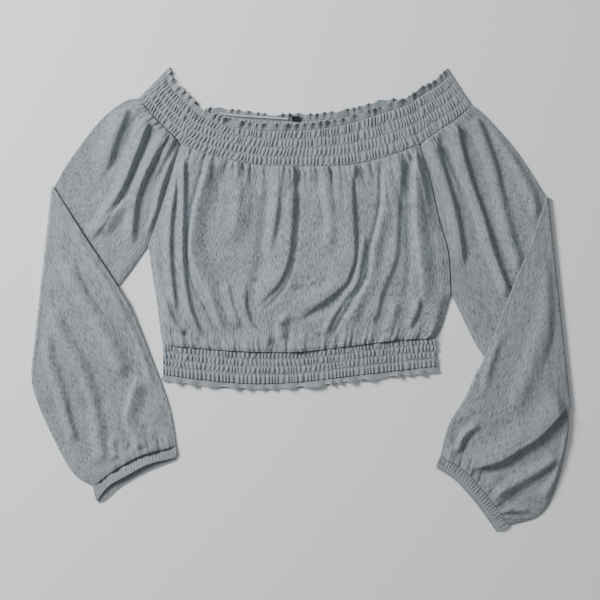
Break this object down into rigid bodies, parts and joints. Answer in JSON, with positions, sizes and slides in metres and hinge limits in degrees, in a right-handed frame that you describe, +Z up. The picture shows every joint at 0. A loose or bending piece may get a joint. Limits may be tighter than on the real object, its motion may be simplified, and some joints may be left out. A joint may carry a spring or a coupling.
{
  "type": "off-shoulder top",
  "caption": "Cropped off-shoulder top with long raglan sleeves, shirred neck and waist bands, frilled edges and elastic cuffs, laid flat with the sleeves folded down.",
  "frame": {"origin": "on the surface that the top lies on, under the middle of its outline", "axes": "+Z up from the surface, +Y from the hem towards the neck, +X across the garment to the right as seen from above"},
  "size_m": [0.6472, 0.5583, 0.013],
  "materials": {
    "crinkle_cloth": "matt crinkled woven cloth, dusty grey blue",
    "shirred_cloth": "the same cloth shirred on rows of elastic thread",
    "frill_edge": "the same cloth with a fine overlocked edge in a paler thread",
    "loop_ribbon": "thin pale satin ribbon",
    "plain_label": "plain black woven tape with nothing on it"
  },
  "bodies": {
    "root": {"front_body": "crinkle_cloth", "back_body": "crinkle_cloth", "left_sleeve": "crinkle_cloth", "right_sleeve": "crinkle_cloth", "front_neck_shirring": "shirred_cloth", "back_neck_shirring": "shirred_cloth", "left_neck_shirring": "shirred_cloth", "right_neck_shirring": "shirred_cloth", "front_waist_shirring": "shirred_cloth", "back_waist_shirring": "shirred_cloth", "left_cuff": "shirred_cloth", "right_cuff": "shirred_cloth", "front_neck_ruffle": "frill_edge", "back_neck_ruffle": "frill_edge", "left_neck_ruffle": "frill_edge", "right_neck_ruffle": "frill_edge", "front_hem_ruffle": "frill_edge", "back_hem_ruffle": "frill_edge", "hanger_loop": "loop_ribbon", "label": "plain_label"}
  },
  "joints": []
}
